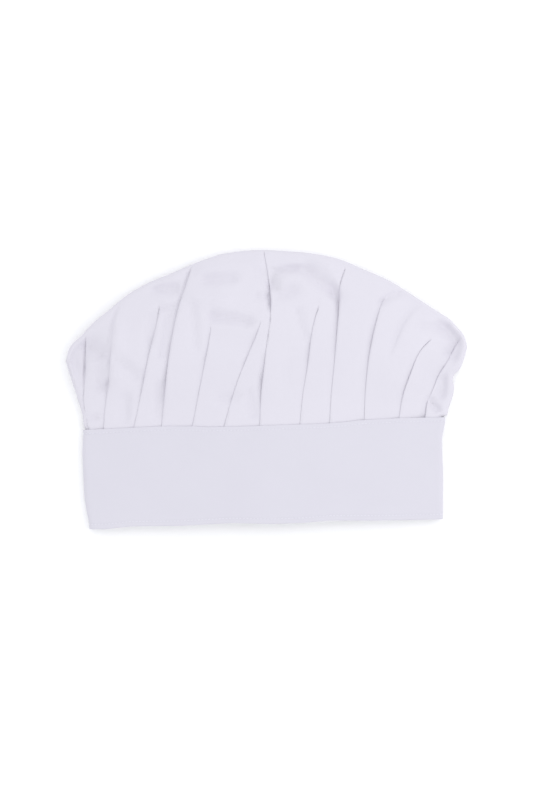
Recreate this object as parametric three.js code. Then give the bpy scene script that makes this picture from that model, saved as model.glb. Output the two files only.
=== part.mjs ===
// A chef's hat in white cotton, laid flat on its back: a tall band, and a crown that is
// knife-pleated all round into the band and lies above it as a puffed bag.
//
// Millimetres. +Y runs from the hem of the band to the top of the crown, +X across the band
// and +Z up from the surface that the hat lies on. While the hat is built, x = 0 is the middle
// of the band and y = 0 is close below its top edge; the group then centres it on the origin.

import * as THREE from 'three';

// ---- Driving sizes ----

const band = {
  halfWidth: 151, // of the band laid flat, which is a loop of about 600 round the head
  top: 1.2, // y of its top edge
  wall: 1.6, // two layers of cotton and a firm backing
  foldRadius: 4.5, // of the folds at its two sides
  loft: 17, // thickness of the flattened loop in the middle
  hemLoft: 15, // the same at the hem
};

const crown = {
  wall: 1.2,
  tuck: 8, // how far the pleats reach down inside the band, below y = 0
  clear: 0.5, // air between the pleats and the band round them
  emerge: 0.3, // height above the band's edge up to which it keeps the rim's section
  height: 32, // of the puffed bag above the surface
  rollHeight: 9, // height of its outer edge
  frontReach: 75, // distance from the outer edge to the full height, on the front
  backReach: 12, // distance from the outer edge to the surface, on the back
  swellPower: 2.6, // how fast the front swells near its outer edge: 2 is a quarter circle
  riseEnd: 45, // y where the front has left the band's height
  settleEnd: 10, // y where the back has come down to the surface
  edgeBow: 3, // how late the rows start to bend with the top edge, as a power
  foldWidth: 1.2, // plan width of the step at a folded edge
  foldShare: 0.3, // and the most of a panel's width that it may take
  dipPower: 1.3, // how late a panel's face dips towards the next folded edge
  pressed: 0.35, // share of a pleat's depth that it has at the band, where it is sewn flat
  pressedEnd: 30, // y where the pleat has its full depth
  foldStart: 15, // a pleat that starts above the band deepens over this height
  foldFade: 30, // every pleat fades out over this height
  backFold: 1.2, // depth of the pleats on the back
  edgeFade: 12, // pleats flatten out over this distance from the outer edge
  liningShare: 0.65, // how much of a pleat's depth the inner face smooths over
};

// Half width of the band laid flat, by row from its hem to its top edge.
const bandRows = [
  { y: -83, halfWidth: 148.8 },
  { y: -75, halfWidth: 150.2 },
  { y: -60, halfWidth: 151 },
  { y: -30, halfWidth: 151.3 },
  { y: -10, halfWidth: band.halfWidth },
  { y: band.top, halfWidth: band.halfWidth },
];

// The hem isn't quite straight: how far it hangs below its row, across the band.
const hemRows = [
  { x: -150, drop: -0.8 },
  { x: -132, drop: 0.4 },
  { x: -112, drop: -1.2 },
  { x: -60, drop: -1 },
  { x: -26, drop: -1.7 },
  { x: 6, drop: 0.1 },
  { x: 36, drop: 0 },
  { x: 54, drop: -1.3 },
  { x: 92, drop: 0 },
  { x: 128, drop: 0.8 },
  { x: 150, drop: 0.8 },
];

// The crown's outer edge as it lies, in three runs that meet at its two side tips.
const leftEdge = [
  { x: -150.1, y: 6 },
  { x: -151.8, y: 20 },
  { x: -155.5, y: 35 },
  { x: -160.1, y: 50 },
  { x: -162.6, y: 58 },
];
const topEdge = [
  { x: -162.6, y: 58 },
  { x: -158.6, y: 70 },
  { x: -149.1, y: 80 },
  { x: -133.6, y: 95 },
  { x: -115.6, y: 110 },
  { x: -96.9, y: 120 },
  { x: -70.7, y: 130 },
  { x: -58, y: 136 },
  { x: -30, y: 144.8 },
  { x: 4, y: 147.2 },
  { x: 31, y: 145 },
  { x: 59, y: 140 },
  { x: 84.8, y: 130 },
  { x: 107, y: 120 },
  { x: 130, y: 105 },
  { x: 152, y: 90 },
  { x: 166.7, y: 75.5 },
  { x: 173.6, y: 62 },
];
const rightEdge = [
  { x: 154.6, y: 4.5 },
  { x: 161.9, y: 23 },
  { x: 161.2, y: 32.5 },
  { x: 166.5, y: 40 },
  { x: 171, y: 50 },
  { x: 173.6, y: 62 },
];

// The folded edge of each front pleat, a line from the band to the outer edge. Its foot is at
// the band, top is the x where its line meets the outer edge, and the fold shows between the
// heights from and fade. Each panel laps over the one on its left.
const pleats = [
  { foot: -147.4, lowX: -148.8, lowY: 30, highX: -146.3, highY: 60, top: -143, from: 8, fade: 78, depth: 2.2 },
  { foot: -132.4, lowX: -127.5, lowY: 40, highX: -122.5, highY: 82, top: -112, from: 0, fade: 106, depth: 2.6 },
  { foot: -107.2, lowX: -97.5, lowY: 41, highX: -86, highY: 86, top: -76, from: 0, fade: 108, depth: 2.8 },
  { foot: -83.8, lowX: -79.5, lowY: 41, highX: -67.5, highY: 100, top: -54, from: 0, fade: 150, depth: 3 },
  { foot: -57.9, lowX: -49.5, lowY: 41, highX: -39.5, highY: 84, top: -27, from: 0, fade: 100, depth: 2.8 },
  { foot: -31.1, lowX: -18.2, lowY: 40, highX: -1.5, highY: 78, top: -6, from: 0, fade: 84, depth: 2.8 },
  { foot: -1.9, lowX: 1.3, lowY: 38, highX: 9.2, highY: 100, top: 4.5, from: 0, fade: 150, depth: 2.8 },
  { foot: 32.4, lowX: 38.5, lowY: 45, highX: 45.5, highY: 82, top: 62, from: 0, fade: 100, depth: 2.8 },
  { foot: 57.5, lowX: 61.3, lowY: 44, highX: 67.3, highY: 102, top: 75, from: 0, fade: 126, depth: 3 },
  { foot: 85.9, lowX: 89.7, lowY: 43, highX: 97.6, highY: 85, top: 112, from: 0, fade: 106, depth: 2.8 },
  { foot: 101, lowX: 108, lowY: 44, highX: 118.3, highY: 76, top: 137, from: 56, fade: 94, depth: 1 },
  { foot: 114.4, lowX: 124.5, lowY: 38, highX: 138, highY: 63, top: 160, from: 0, fade: 74, depth: 2.8 },
  { foot: 135.3, lowX: 146, lowY: 31, highX: 161.2, highY: 57.8, top: 169.5, from: 0, fade: 72, depth: 2.6 },
];

// Soft puffs (lift above 0) and dents (below 0) of the front, as ovals.
const puffs = [
  { x: 39, y: 117, acrossX: 20, acrossY: 15, lift: 2 },
  { x: -72, y: 119, acrossX: 12, acrossY: 8, lift: -2 },
  { x: -31, y: 127, acrossX: 12, acrossY: 7, lift: -1.6 },
  { x: -134, y: 78, acrossX: 10, acrossY: 9, lift: -1.6 },
  { x: -24, y: 89, acrossX: 13, acrossY: 5, lift: -1.4 },
];

// How finely the cloth is divided: rows up a pleat, as shares of its length, and columns
// across a panel, as shares of its width.
const risingRows = [
  0.02, 0.06, 0.12, 0.2, 0.29, 0.38, 0.47, 0.56, 0.65, 0.73, 0.8, 0.86, 0.91, 0.95, 0.98, 1,
];
const panelColumns = [0, 0.35, 0.7, 1];
const firstPanelColumns = [0, 0.08, 0.3, 0.6, 1];
const lastPanelColumns = [0, 0.35, 0.65, 0.84, 0.95, 1];
const foldArcSteps = 6;
const bandFlatSteps = 14;

// ---- Small helpers ----

const { lerp, smoothstep } = THREE.MathUtils;

// The value between two rows of a table.
function fromRows(rows, key, value, at) {
  const last = rows.length - 1;
  const next = Math.min(Math.max(rows.findIndex((row) => row[key] >= at), 1), last);
  const upper = at > rows[last][key] ? last : next;
  const lower = upper - 1;
  const share = (at - rows[lower][key]) / (rows[upper][key] - rows[lower][key]);
  return lerp(rows[lower][value], rows[upper][value], THREE.MathUtils.clamp(share, 0, 1));
}

function curveThrough(points) {
  return new THREE.CatmullRomCurve3(points.map(({ x, y }) => new THREE.Vector3(x, y, 0)));
}

// Collects triangles; quads are given anticlockwise as seen from outside.
class Skin {
  corners = [];

  triangle(a, b, c) {
    this.corners.push(...a, ...b, ...c);
  }

  quad(a, b, c, d) {
    this.triangle(a, b, c);
    this.triangle(a, c, d);
  }

  // A grid of points, rows by columns, facing +Z where x grows along a row and y up the rows.
  sheet(rows, facingUp) {
    for (let j = 0; j + 1 < rows.length; j++) {
      for (let i = 0; i + 1 < rows[j].length; i++) {
        const loop = [rows[j][i], rows[j][i + 1], rows[j + 1][i + 1], rows[j + 1][i]];
        this.quad(...(facingUp ? loop : loop.reverse()));
      }
    }
  }

  mesh(name, material) {
    const geometry = new THREE.BufferGeometry();
    geometry.setAttribute('position', new THREE.Float32BufferAttribute(this.corners, 3));
    geometry.computeVertexNormals();
    const mesh = new THREE.Mesh(geometry, material);
    mesh.name = name;
    return mesh;
  }
}

// ---- Section of the flattened loop ----

// The band's section across X: flat below, a tight round fold at each side, and one long
// shallow arc above. An inset moves all of it inwards by the same distance.
function loopSection(halfWidth, loft, inset) {
  const radius = band.foldRadius;
  const foldX = halfWidth - radius;
  const swell = loft - 2 * radius;
  const arcRadius = radius + (foldX ** 2 + swell ** 2) / (2 * swell);
  const arcCentre = loft - arcRadius;
  const meetX = (foldX * arcRadius) / (arcRadius - radius);
  const meetAngle = Math.atan2(radius - arcCentre, foldX);
  const fold = radius - inset;
  return {
    foldX,
    fold,
    meetAngle,
    outerX: halfWidth - inset,
    below: (x) =>
      Math.abs(x) <= foldX ? inset : radius - Math.sqrt(Math.max(fold ** 2 - (Math.abs(x) - foldX) ** 2, 0)),
    above: (x) =>
      Math.abs(x) <= meetX - inset * Math.cos(meetAngle)
        ? arcCentre + Math.sqrt((arcRadius - inset) ** 2 - x ** 2)
        : radius + Math.sqrt(Math.max(fold ** 2 - (Math.abs(x) - foldX) ** 2, 0)),
  };
}

// ---- Band ----

// Points once round the section, anticlockwise as seen from the hem: along the flat
// underside, round the right fold, back over the top and round the left fold.
function loopPoints(section) {
  const points = [];
  const arc = (side, from, to) => {
    for (let step = 1; step < foldArcSteps; step++) {
      const angle = lerp(from, to, step / foldArcSteps);
      points.push({
        x: side * (section.foldX + section.fold * Math.cos(angle)),
        z: band.foldRadius + section.fold * Math.sin(angle),
      });
    }
  };
  const reach = section.foldX + section.fold * Math.cos(section.meetAngle);
  for (let step = 0; step <= bandFlatSteps; step++) {
    const x = lerp(-section.foldX, section.foldX, step / bandFlatSteps);
    points.push({ x, z: section.below(x) });
  }
  arc(1, -Math.PI / 2, section.meetAngle);
  for (let step = 0; step <= bandFlatSteps; step++) {
    const x = lerp(reach, -reach, step / bandFlatSteps);
    points.push({ x, z: section.above(x) });
  }
  arc(-1, section.meetAngle, -Math.PI / 2);
  return points;
}

function bandRing(row, inset) {
  const hem = bandRows[0].y;
  const loft = lerp(band.loft, band.hemLoft, smoothstep(-row.y, 10, -hem));
  return loopPoints(loopSection(row.halfWidth, loft, inset)).map(({ x, z }) => {
    const drop = row.y === hem ? fromRows(hemRows, 'x', 'drop', x) : 0;
    return [x, row.y - drop, z];
  });
}

function bandMesh() {
  const skin = new Skin();
  const outer = bandRows.map((row) => bandRing(row, 0));
  const inner = bandRows.map((row) => bandRing(row, band.wall));
  const top = bandRows.length - 1;
  outer[0].forEach((_, i) => {
    const next = (i + 1) % outer[0].length;
    for (let j = 0; j < top; j++) {
      skin.quad(outer[j][next], outer[j][i], outer[j + 1][i], outer[j + 1][next]);
      skin.quad(inner[j][i], inner[j][next], inner[j + 1][next], inner[j + 1][i]);
    }
    skin.quad(outer[0][i], outer[0][next], inner[0][next], inner[0][i]);
    skin.quad(inner[top][i], inner[top][next], outer[top][next], outer[top][i]);
  });
  return skin.mesh('band', new THREE.MeshStandardMaterial({ color: '#e1e0ec', roughness: 0.85, metalness: 0 }));
}

// ---- Crown ----

const rimSection = loopSection(band.halfWidth, band.loft, band.wall + crown.clear);
const emergeY = band.top + crown.emerge;
const rimCorner = (side) => ({ x: side * rimSection.outerX, y: emergeY });

const leftCurve = curveThrough([rimCorner(-1), ...leftEdge]);
const rightCurve = curveThrough([rimCorner(1), ...rightEdge]);
const topCurve = curveThrough(topEdge);

// The outer edge as a fine line of points, for measuring how far a place is from it.
const edgeLine = [
  ...leftCurve.getSpacedPoints(80),
  ...topCurve.getSpacedPoints(400).slice(1),
  ...rightCurve.getSpacedPoints(80).reverse().slice(1),
];

// The share of the top edge's length at which it reaches a given x.
function topShare(x) {
  let low = 0;
  let high = 1;
  for (let halving = 0; halving < 30; halving++) {
    const middle = (low + high) / 2;
    if (topCurve.getPointAt(middle).x < x) low = middle;
    else high = middle;
  }
  return low;
}

// One line from the band to the outer edge: the two side runs, and each folded edge.
function pleatLine({ foot, lowX, lowY, highX, highY, top }) {
  const share = topShare(top);
  const end = topCurve.getPointAt(share);
  const curve = curveThrough([
    { x: foot, y: emergeY },
    { x: lowX, y: lowY },
    { x: highX, y: highY },
    end,
  ]);
  return { curve, share };
}

const lines = [
  { curve: leftCurve, share: 0, fold: null },
  ...pleats.map((fold) => ({ ...pleatLine(fold), fold })),
  { curve: rightCurve, share: 1, fold: null },
];

// A place in a panel, between the lines on its two sides and under the top edge. Where the
// next panel's folded edge lies over this one, the panel stops one step short of it.
function panelPoint(left, right, across, up) {
  const start = left.curve.getPointAt(up);
  const end = right.curve.getPointAt(up);
  const width = start.distanceTo(end);
  const step = right.fold ? Math.min(crown.foldWidth, width * crown.foldShare) : 0;
  const reached = across * (1 - step / width);
  const onEdge = topCurve.getPointAt(lerp(left.share, right.share, reached));
  const onChord = left.curve.getPointAt(1).lerp(right.curve.getPointAt(1), reached);
  return start.lerp(end, reached).addScaledVector(onEdge.sub(onChord), up ** crown.edgeBow);
}

// How far a place is from the outer edge, and the direction to it.
function edgeDistance(point) {
  let best = { distance: Infinity, outward: null };
  for (let i = 0; i + 1 < edgeLine.length; i++) {
    const run = new THREE.Line3(edgeLine[i], edgeLine[i + 1]);
    const nearest = run.closestPointToPoint(point, true, new THREE.Vector3());
    const distance = nearest.distanceTo(point);
    if (distance < best.distance) {
      const along = run.delta(new THREE.Vector3()).normalize();
      best = { distance, outward: new THREE.Vector3(-along.y, along.x, 0) };
      if (distance > 1) best.outward = nearest.sub(point).normalize();
    }
  }
  return best;
}

// Height of the bag's front and back at a distance from its outer edge, before pleating. Both
// start from the rim's section inside the band and turn into the puffed bag above it.
function bagHeight(facing, distance, y) {
  const risen = smoothstep(y, emergeY, crown.riseEnd);
  const edgeHeight = lerp(band.foldRadius, crown.rollHeight, risen);
  const rimX = rimSection.outerX - distance;
  if (facing === 'front') {
    const t = Math.min(distance / crown.frontReach, 1);
    const swell = (crown.height - crown.rollHeight) * Math.sqrt(1 - (1 - t) ** crown.swellPower);
    return edgeHeight + lerp(rimSection.above(rimX) - band.foldRadius, swell, risen);
  }
  const t = Math.min(distance / crown.backReach, 1);
  const settled = smoothstep(y, emergeY, crown.settleEnd);
  const share = 1 - Math.sqrt(1 - (1 - t) ** 2);
  return edgeHeight * lerp(rimSection.below(rimX) / band.foldRadius, share, settled);
}

// Depth of the fold at the right-hand side of a panel, at a height above the band.
function foldDepth(facing, right, y) {
  if (!right.fold) return 0;
  if (facing === 'back') return crown.backFold;
  const { from, fade, depth } = right.fold;
  const started = from > 0
    ? smoothstep(y, from, from + crown.foldStart)
    : lerp(crown.pressed, 1, smoothstep(y, 0, crown.pressedEnd));
  return depth * started * (1 - smoothstep(y, fade - crown.foldFade, fade));
}

function puffLift(x, y) {
  return puffs.reduce((sum, puff) => {
    const reach = ((x - puff.x) / puff.acrossX) ** 2 + ((y - puff.y) / puff.acrossY) ** 2;
    return sum + puff.lift * Math.exp(-reach);
  }, 0);
}

// The outer and inner faces of the cloth over one place in plan.
function clothPoints(facing, place) {
  const { point, across, right, distance, outward, onOuterEdge } = place;
  const sign = facing === 'front' ? 1 : -1;
  const delta = 0.05; // a small step inwards, for the surface's slope
  const height = bagHeight(facing, distance, point.y);
  const slope = Math.abs(bagHeight(facing, distance + delta, point.y) - height) / delta;
  const normal = onOuterEdge
    ? outward.clone()
    : outward.clone().multiplyScalar(slope).add(new THREE.Vector3(0, 0, sign)).normalize();
  const calm = smoothstep(distance, 0, crown.edgeFade);
  const depth = foldDepth(facing, right, point.y) * calm;
  const dip = depth * (facing === 'front' ? across ** crown.dipPower : 1 - across);
  const puff = facing === 'front' ? puffLift(point.x, point.y) * calm : 0;
  const surface = new THREE.Vector3(point.x, point.y, height + puff);
  const inside = crown.wall + crown.liningShare * depth + (1 - crown.liningShare) * dip;
  return {
    outer: surface.clone().addScaledVector(normal, -dip).toArray(),
    inner: surface.clone().addScaledVector(normal, -inside).toArray(),
  };
}

// Every place of the cloth in plan, in rows from the tucked rim to the outer edge.
function planRows() {
  const columns = lines.slice(1).flatMap((right, i) => {
    const left = lines[i];
    const isFirst = i === 0;
    const isLast = i === lines.length - 2;
    const shares = isFirst ? firstPanelColumns : isLast ? lastPanelColumns : panelColumns;
    return shares.map((across) => ({ left, right, across }));
  });
  const tuckRows = [-crown.tuck, -crown.tuck / 2, emergeY].map((y) => ({ y, up: 0 }));
  const rows = [...tuckRows, ...risingRows.map((up) => ({ up }))];
  return rows.map(({ y, up }) =>
    columns.map(({ left, right, across }) => {
      const point = panelPoint(left, right, across, up);
      if (y !== undefined) point.y = y;
      const onSide = (across === 0 && !left.fold) || (across === 1 && !right.fold);
      const onOuterEdge = onSide || up === 1;
      const edge = edgeDistance(point);
      const distance = up === 0 ? rimSection.outerX - Math.abs(point.x) : edge.distance;
      const outward = up === 0 ? new THREE.Vector3(Math.sign(point.x), 0, 0) : edge.outward;
      return { point, across, right, outward, onOuterEdge, distance: onOuterEdge ? 0 : distance };
    }),
  );
}

function crownMesh() {
  const skin = new Skin();
  const plan = planRows();
  for (const facing of ['front', 'back']) {
    const isFront = facing === 'front';
    const rows = plan.map((row) => row.map((place) => clothPoints(facing, place)));
    const outer = rows.map((row) => row.map((place) => place.outer));
    const inner = rows.map((row) => row.map((place) => place.inner));
    skin.sheet(outer, isFront);
    skin.sheet(inner, !isFront);
    skin.sheet([inner[0], outer[0]], isFront);
  }
  return skin.mesh('crown', new THREE.MeshStandardMaterial({ color: '#e5e3ee', roughness: 0.9, metalness: 0 }));
}

// ---- The hat ----

const hat = new THREE.Group();
hat.add(bandMesh(), crownMesh());
const middle = new THREE.Box3().setFromObject(hat).getCenter(new THREE.Vector3());
hat.position.set(-middle.x, -middle.y, 0);

export default hat;
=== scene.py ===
# %% [markdown]
# # A chef's hat in white cotton
#
# The hat lies flat on its back. It is made of two pieces of cloth: a band, which is a doubled strip
# closed into a loop, and a crown, which is a wide round cloth pleated all round into the band and
# puffed up above it. This lesson builds both as real surfaces with real folds, sews them with
# thread, and lights them softly from all round.

# %% Start from the frame
import math

import bpy
import numpy as np
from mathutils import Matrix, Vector, noise


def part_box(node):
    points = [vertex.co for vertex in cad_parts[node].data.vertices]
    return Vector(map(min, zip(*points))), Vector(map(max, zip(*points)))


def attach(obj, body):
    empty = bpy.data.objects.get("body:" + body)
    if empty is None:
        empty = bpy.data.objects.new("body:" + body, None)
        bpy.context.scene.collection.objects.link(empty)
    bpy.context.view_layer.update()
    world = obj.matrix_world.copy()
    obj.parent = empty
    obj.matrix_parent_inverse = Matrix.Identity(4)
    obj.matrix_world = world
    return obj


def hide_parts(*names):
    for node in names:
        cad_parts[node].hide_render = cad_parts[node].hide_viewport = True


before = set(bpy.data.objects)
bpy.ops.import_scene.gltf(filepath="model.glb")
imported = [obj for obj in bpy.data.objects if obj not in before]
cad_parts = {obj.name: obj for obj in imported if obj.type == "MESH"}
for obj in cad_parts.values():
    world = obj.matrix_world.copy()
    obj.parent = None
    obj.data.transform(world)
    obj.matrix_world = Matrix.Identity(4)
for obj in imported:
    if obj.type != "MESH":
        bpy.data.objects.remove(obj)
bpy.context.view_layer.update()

# %% [markdown]
# ## Where things are
#
# The shapes below are written in millimetres, measured from the middle of the band (x) and from the
# line where the pleats go into it (y), because that is how a hat is cut and sewn. The band's own box
# says where that place is in the frame.

# %% The sewing frame
MM = 0.001
BAND_TOP = 1.2  # y of the band's top edge

band_low, band_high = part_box("band")
ORIGIN = np.array([(band_low[0] + band_high[0]) / 2, band_high[1] - BAND_TOP * MM, 0.0])
print("the middle of the band's top edge is at", ORIGIN.round(4))


def to_metres(points):
    """Points in the sewing frame, in millimetres, as places in the scene."""
    return np.asarray(points, float) * MM + ORIGIN


def smoothstep(value, low, high):
    t = np.clip((np.asarray(value, float) - low) / (high - low), 0, 1)
    return t * t * (3 - 2 * t)


def mix(a, b, share):
    return a + (b - a) * share


# %% [markdown]
# ## Smooth lines through a few points
#
# The hat's edge and every pleat are curves. Each is given by the few points that its shape needs,
# and a spline fills in the rest. Its tangents are weighted by the distance between points, so it
# doesn't overshoot where two points are close together.

# %% A spline through points
SPLINE_STEPS = 24  # places worked out between two knots


def smooth_line(knots, count):
    """Evenly spaced points on a smooth curve through the knots."""
    knots = np.asarray(knots, float)
    ends = (2 * knots[0] - knots[1], 2 * knots[-1] - knots[-2])
    padded = np.vstack([ends[0], knots, ends[1]])
    t = np.linspace(0, 1, SPLINE_STEPS, endpoint=False)[:, None]
    pieces = []
    for a, b, c, d in zip(padded, padded[1:], padded[2:], padded[3:]):
        before, here, after = (math.sqrt(np.linalg.norm(q - p)) for p, q in ((a, b), (b, c), (c, d)))
        leave = ((b - a) / before - (c - a) / (before + here) + (c - b) / here) * here
        arrive = ((c - b) / here - (d - b) / (here + after) + (d - c) / after) * here
        square = 3 * (c - b) - 2 * leave - arrive
        cube = 2 * (b - c) + leave + arrive
        pieces.append(b + leave * t + square * t**2 + cube * t**3)
    path = np.vstack([*pieces, knots[-1:]])
    reached = np.concatenate([[0], np.cumsum(np.linalg.norm(np.diff(path, axis=0), axis=1))])
    wanted = np.linspace(0, reached[-1], count)
    return np.column_stack([np.interp(wanted, reached, path[:, k]) for k in range(path.shape[1])])


def along(line, share):
    """The point at a share of an evenly spaced line's length."""
    at = np.clip(share, 0, 1) * (len(line) - 1)
    return np.stack([np.interp(at, np.arange(len(line)), line[:, k]) for k in range(2)], axis=-1)


# %% [markdown]
# ## The outline of the crown
#
# The crown is a bag that lies flat, so its outline is drawn once, in three runs: up the left side to
# a fairly sharp tip, over the top, and up the right side, where the cloth is tucked and makes a
# small knob with a notch below it.

# %% Edge of the crown
EMERGE = BAND_TOP + 0.3  # y where the crown comes out of the band
RIM = 148.9  # half width of the crown inside the band

LEFT_EDGE = [
    (-RIM, EMERGE), (-150, 5), (-149.6, 14), (-151.5, 21), (-153.9, 30), (-157.2, 41), (-159.9, 50),
    (-161.9, 58.4),
]
RIGHT_EDGE = [
    (RIM, EMERGE), (152.4, 3), (155, 8), (159.2, 14), (161.7, 21.5), (162.2, 27), (161.5, 33.5),
    (163, 37.5), (167, 41), (171.1, 50), (174.3, 60),
]
TOP_EDGE = [
    (-161.9, 58.4), (-158, 70), (-147.6, 79.8), (-138, 89.7), (-125, 99.4), (-109.6, 111.6),
    (-89.6, 122.3), (-71.7, 129), (-58, 134.5), (-40, 140.8), (-28, 144.1), (2, 146.4), (31, 144.2),
    (50, 141.6), (70, 136.5), (90, 127.4), (110, 117.8), (130, 104.6), (150, 90.6), (160, 83.7),
    (167.2, 75.5), (171.4, 70.3), (174.3, 60),
]

SIDE_POINTS = 120  # along each side
TOP_POINTS = 500  # along the top

left_line = smooth_line(LEFT_EDGE, SIDE_POINTS)
right_line = smooth_line(RIGHT_EDGE, SIDE_POINTS)
top_line = smooth_line(TOP_EDGE, TOP_POINTS)
edge_line = np.vstack([left_line, top_line[1:], right_line[::-1][1:]])
print("the crown's edge is", round(np.linalg.norm(np.diff(edge_line, axis=0), axis=1).sum()), "mm long")

# %% [markdown]
# ## The pleats
#
# They are knife pleats: each panel of cloth laps over the one on its left, so its folded edge shows
# as a thin dark line. A pleat is pressed flat at the band, opens on its way up, and fades out where
# the bag is puffed. Each row gives a folded edge's foot at the band, the places it runs through, the
# x where it would meet the top edge, the heights between which it shows, and how deep the step is on
# the way up, because a soft pleat is never equally deep all along.

# %% Table of pleats
PLEATS = [
    {
        "foot": -147, "through": [(-148.1, 24), (-147, 38), (-145.4, 52), (-144.8, 70)], "top": -143,
        "shows": (0, 86), "steps": [
            (2, 1.3), (12, 1), (24, 1.14), (36, 0.85), (44, 1.71), (52, 3.16), (64, 1.99), (76, 1.23),
        ],
    },
    {
        "foot": -133.1, "through": [(-129.6, 23), (-125.7, 44), (-123.6, 66), (-119.4, 92)], "top": -113,
        "shows": (0, 116), "steps": [
            (2, 0.8), (24, 0.87), (33, 1.9), (38, 3.96), (46, 1.74), (56, 3.17), (64, 2.53), (76, 4.12),
            (90, 4.44), (104, 3.17),
        ],
        "opens": 58,
    },
    {
        "foot": -106.9, "through": [(-101, 24), (-95.6, 46), (-90.5, 66), (-84.8, 86)], "top": -77,
        "shows": (0, 106), "steps": [
            (2, 0.4), (14, 0.35), (28, 1.08), (42, 2.02), (55, 1.15), (68, 1.87), (80, 1.33), (92, 0.14),
        ],
    },
    {
        "foot": -83.7, "through": [(-80.5, 26), (-76.9, 50), (-72.5, 74), (-66.7, 98), (-60.8, 115)],
        "top": -53, "shows": (0, 170), "steps": [
            (2, 0.35), (14, 0.4), (24, 2.13), (38, 3.34), (52, 2.27), (66, 2.57), (82, 1.9), (98, 2.43),
            (110, 2.27), (125, 2.13),
        ],
    },
    {
        "foot": -58, "through": [(-52.6, 24), (-46.4, 50), (-41.8, 70), (-39.3, 86)], "top": -32,
        "shows": (0, 94), "steps": [(2, 0.15), (12, 0.3), (24, 0.91), (46, 0.91), (56, 1.5), (70, 1.17)],
        "opens": 72,
    },
    {
        "foot": -31.6, "through": [(-24, 24), (-15.7, 45), (-7.5, 63), (0, 80), (3.2, 92)], "top": -2,
        "shows": (0, 90), "steps": [
            (2, 0.1), (12, 0.15), (24, 1.13), (38, 0.78), (45, 0.48), (52, 1.26), (64, 1.19), (76, 1.54),
        ],
    },
    {
        "foot": -1.7, "through": [(0.2, 26), (3.7, 50), (7.4, 74), (10.4, 94), (10.6, 108), (8.7, 128)],
        "top": 6, "shows": (0, 170), "steps": [
            (2, 0.3), (12, 0.35), (20, 1.7), (38, 3.1), (47, 1.93), (60, 1.1), (66, 0.3), (70, 0.13),
            (77, 0.05), (86, 0.05), (90, 0.13), (93, 0.7), (100, 3.48), (108, 3.97), (116, 2.03),
            (124, 1.02), (138, 0.65),
        ],
    },
    {
        "foot": 31.9, "through": [(35.1, 25), (39.6, 48), (43, 70), (46.6, 86), (51.5, 100)], "top": 62,
        "shows": (0, 108), "steps": [
            (2, 0.15), (14, 0.4), (40, 0.83), (50, 1.52), (58, 1.97), (68, 1.7), (80, 0.4),
            (90, 0.15), (100, 0),
        ],
    },
    {
        "foot": 56.7, "through": [(58.9, 25), (62, 50), (64.7, 74), (67.3, 97), (68.7, 114)], "top": 76,
        "shows": (0, 134), "steps": [
            (2, 0.15), (14, 0.5), (50, 0.88), (60, 1.62), (74, 1.97), (88, 2.59), (100, 4), (109, 1.7),
            (115, 0.16), (126, 0.2),
        ],
    },
    {
        "foot": 85.8, "through": [(87.2, 24), (90.2, 50), (94.2, 70), (99, 87), (104.5, 101)], "top": 116,
        "shows": (0, 108), "steps": [
            (2, 0.5), (12, 0.5), (24, 0.95), (48, 1.57), (66, 2.31), (80, 1.84), (94, 1.34),
        ],
    },
    {
        "foot": 101, "through": [(106, 44), (113.8, 66), (120.5, 80), (128, 90)], "top": 140,
        "shows": (50, 104), "steps": [(60, 2.3), (72, 3.84), (80, 3.84), (90, 2.82)], "opens": 40,
    },
    {
        "foot": 114.2, "through": [(119.7, 24), (126.3, 42), (132, 55), (140, 64.5)], "top": 163,
        "shows": (0, 74), "steps": [
            (2, 0.6), (12, 0.85), (24, 1.63), (38, 1.76), (48, 1.2), (55, 0.55), (60, 0.14),
            (70, 0.03),
        ],
    },
    {
        "foot": 134.3, "through": [(137.6, 11), (144, 25), (149.2, 37.2), (156.5, 48.3), (165.5, 63.6)],
        "top": 171.2, "shows": (0, 76), "steps": [
            (2, 1.9), (10, 1.5), (17, 0.51), (26, 0.66), (36, 1.37), (44, 1.6), (51, 0.22), (56, 1.48),
            (63, 1.68),
        ],
    },
]
PLEAT_POINTS = 200  # along each folded edge
print(len(PLEATS), "pleats show on the front")


def pleat_line(pleat):
    share = np.interp(pleat["top"], top_line[:, 0], np.linspace(0, 1, len(top_line)))
    knots = [(pleat["foot"], EMERGE), *pleat["through"], tuple(along(top_line, share))]
    return {"line": smooth_line(knots, PLEAT_POINTS), "share": share, "pleat": pleat}


lines = [
    {"line": left_line, "share": 0.0, "pleat": None},
    *[pleat_line(pleat) for pleat in PLEATS],
    {"line": right_line, "share": 1.0, "pleat": None},
]

# %% [markdown]
# ## A grid that follows the pleats
#
# The cloth is a grid. Its rows climb from the tucked rim, inside the band, to the outer edge. Its
# columns cross each panel and then run through the fold into the next panel. In a fold the cloth
# goes under the next panel, turns back, and turns again at the folded edge, so three layers lie on
# each other. Where the pleat fades the same columns spread out flat, so the grid never changes.

# %% Rows and columns
TUCK = 8.0  # how far the rim reaches down inside the band
FACE_COLUMNS = 10  # points across a panel's face
END_COLUMNS = 2  # more of them on the first and the last panel
FACE_SPREAD = 0.8  # they are a little closer together at the panel's right
RISING_ROWS = 72
ROW_SPREAD = 1.35  # rows are closer together near the outer edge
SEAM_ROWS = [0.003, 0.006, 0.01]  # extra rows where the crown comes out of the band

tuck_rows = np.array([-TUCK, -5, -3.5, -2.2, -1.1, -0.2, 0.6, EMERGE])
rise = np.concatenate([SEAM_ROWS, 1 - (1 - np.linspace(0, 1, RISING_ROWS + 1)[1:]) ** ROW_SPREAD])
row_up = np.concatenate([np.zeros(len(tuck_rows)), rise])
row_y = np.concatenate([tuck_rows, np.full(len(rise), np.nan)])
is_tuck = ~np.isnan(row_y)

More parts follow.
